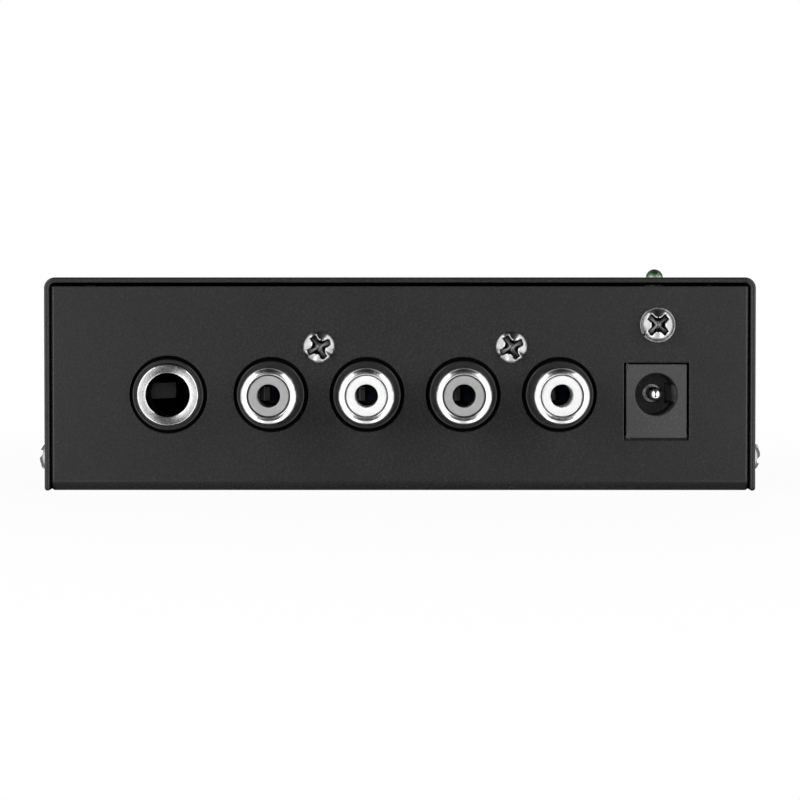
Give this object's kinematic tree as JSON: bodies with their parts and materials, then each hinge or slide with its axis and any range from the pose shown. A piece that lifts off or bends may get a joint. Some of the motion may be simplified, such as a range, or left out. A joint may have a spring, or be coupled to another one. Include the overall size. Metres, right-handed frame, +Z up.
{
  "type": "phono preamp",
  "caption": "Flat black steel box with phono sockets, a 6.35 mm jack, a power socket, a ground screw and a lamp, which amplifies the signal of a turntable.",
  "frame": {"origin": "centre of the tray's underside, on the surface the case stands on", "axes": "+X to the right seen from the socket side, +Y away from the socket side, +Z up"},
  "size_m": [0.1084, 0.0681, 0.0333],
  "materials": {
    "case_paint": "fine textured black powder coat",
    "screw_nickel": "bright nickel plate",
    "zinc_steel": "zinc plated",
    "board_laminate": "solder-masked glass laminate",
    "socket_black": "satin moulded plastic",
    "dc_black": "matt moulded plastic",
    "bushing_chrome": "bright plate",
    "sleeve_nickel": "bright nickel plate",
    "contact_metal": "tinned spring bronze",
    "insulator_grey": "smooth moulded plastic",
    "insulator_white": "smooth moulded plastic",
    "wire_green": "wire insulation",
    "led_green": "tinted clear epoxy",
    "component_black": "moulded epoxy",
    "lead_tin": "tinned copper",
    "can_sleeve": "heat-shrunk sleeve",
    "film_red": "dipped epoxy",
    "resistor_blue": "lacquer"
  },
  "bodies": {
    "case": {"chassis": "case_paint", "circuit_board": "board_laminate", "coupling_capacitors": "can_sleeve", "cover_screws": "screw_nickel", "dc_housing": "dc_black", "dc_pin": "sleeve_nickel", "dc_switch_contact": "contact_metal", "diode_leads": "lead_tin", "film_capacitors": "film_red", "ground_lug": "contact_metal", "ground_nut": "zinc_steel", "ground_wire": "wire_green", "led_leads": "lead_tin", "led_spacer": "component_black", "opamp_bodies": "component_black", "opamp_pins": "lead_tin", "pcb_screws": "zinc_steel", "pcb_standoffs": "zinc_steel", "power_led": "led_green", "radial_leads": "lead_tin", "rca_ground_tags": "contact_metal", "rca_input_housing": "socket_black", "rca_insulator_1": "insulator_grey", "rca_insulator_2": "insulator_white", "rca_insulator_3": "insulator_grey", "rca_insulator_4": "insulator_white", "rca_output_housing": "socket_black", "rca_screws": "screw_nickel", "rca_sleeve_1": "sleeve_nickel", "rca_sleeve_2": "sleeve_nickel", "rca_sleeve_3": "sleeve_nickel", "rca_sleeve_4": "sleeve_nickel", "rectifier_diode": "component_black", "regulator_leads": "lead_tin", "resistor_bodies": "resistor_blue", "resistor_leads": "lead_tin", "supply_capacitors": "can_sleeve", "top_cover": "case_paint", "trs_bushing": "bushing_chrome", "trs_housing": "socket_black", "trs_sleeve_contact": "contact_metal", "voltage_regulator": "component_black"},
    "ground_post": {"ground_washer": "screw_nickel"},
    "ground_fastener": {"ground_screw": "screw_nickel"},
    "trs_tip_leaf": {"trs_tip_spring": "contact_metal"},
    "trs_ring_leaf": {"trs_ring_spring": "contact_metal"},
    "dc_leaf": {"dc_spring": "contact_metal"},
    "rca_leaf_1": {"rca_center_contact_1": "contact_metal"},
    "rca_leaf_2": {"rca_center_contact_2": "contact_metal"},
    "rca_leaf_3": {"rca_center_contact_3": "contact_metal"},
    "rca_leaf_4": {"rca_center_contact_4": "contact_metal"}
  },
  "joints": [
    {"name": "ground_screw_travel", "type": "slide", "parent": "case", "child": "ground_post", "axis": [0, -1, 0], "range_m": [0, 0.002]},
    {"name": "ground_screw_turn", "type": "hinge", "parent": "ground_post", "child": "ground_fastener", "pos_m": [0.038, -0.0296, 0.0245], "axis": [0, -1, 0], "range_deg": [0, 1440]},
    {"name": "trs_tip_flex", "type": "hinge", "parent": "case", "child": "trs_tip_leaf", "pos_m": [-0.0398, -0.0145, 0.0142], "axis": [0, 0, 1], "range_deg": [0, 13.5], "stiffness_Nm_per_rad": 0.1},
    {"name": "trs_ring_flex", "type": "hinge", "parent": "case", "child": "trs_ring_leaf", "pos_m": [-0.0286, -0.017, 0.0142], "axis": [0, 0, -1], "range_deg": [0, 7], "stiffness_Nm_per_rad": 0.1},
    {"name": "dc_spring_flex", "type": "hinge", "parent": "case", "child": "dc_leaf", "pos_m": [0.0416, -0.017, 0.0142], "axis": [0, 0, 1], "range_deg": [0, 4], "stiffness_Nm_per_rad": 0.1},
    {"name": "rca_contact_flex_1", "type": "hinge", "parent": "case", "child": "rca_leaf_1", "pos_m": [-0.02125, -0.0199, 0.0142], "axis": [0, 0, -1], "range_deg": [0, 14], "stiffness_Nm_per_rad": 0.05},
    {"name": "rca_contact_flex_2", "type": "hinge", "parent": "case", "child": "rca_leaf_2", "pos_m": [-0.00705, -0.0199, 0.0142], "axis": [0, 0, -1], "range_deg": [0, 14], "stiffness_Nm_per_rad": 0.05},
    {"name": "rca_contact_flex_3", "type": "hinge", "parent": "case", "child": "rca_leaf_3", "pos_m": [0.00715, -0.0199, 0.0142], "axis": [0, 0, -1], "range_deg": [0, 14], "stiffness_Nm_per_rad": 0.05},
    {"name": "rca_contact_flex_4", "type": "hinge", "parent": "case", "child": "rca_leaf_4", "pos_m": [0.02135, -0.0199, 0.0142], "axis": [0, 0, -1], "range_deg": [0, 14], "stiffness_Nm_per_rad": 0.05}
  ],
  "couplings": [
    {"joint": "ground_screw_turn", "follows": "ground_screw_travel", "rad_per_m": 12566}
  ]
}
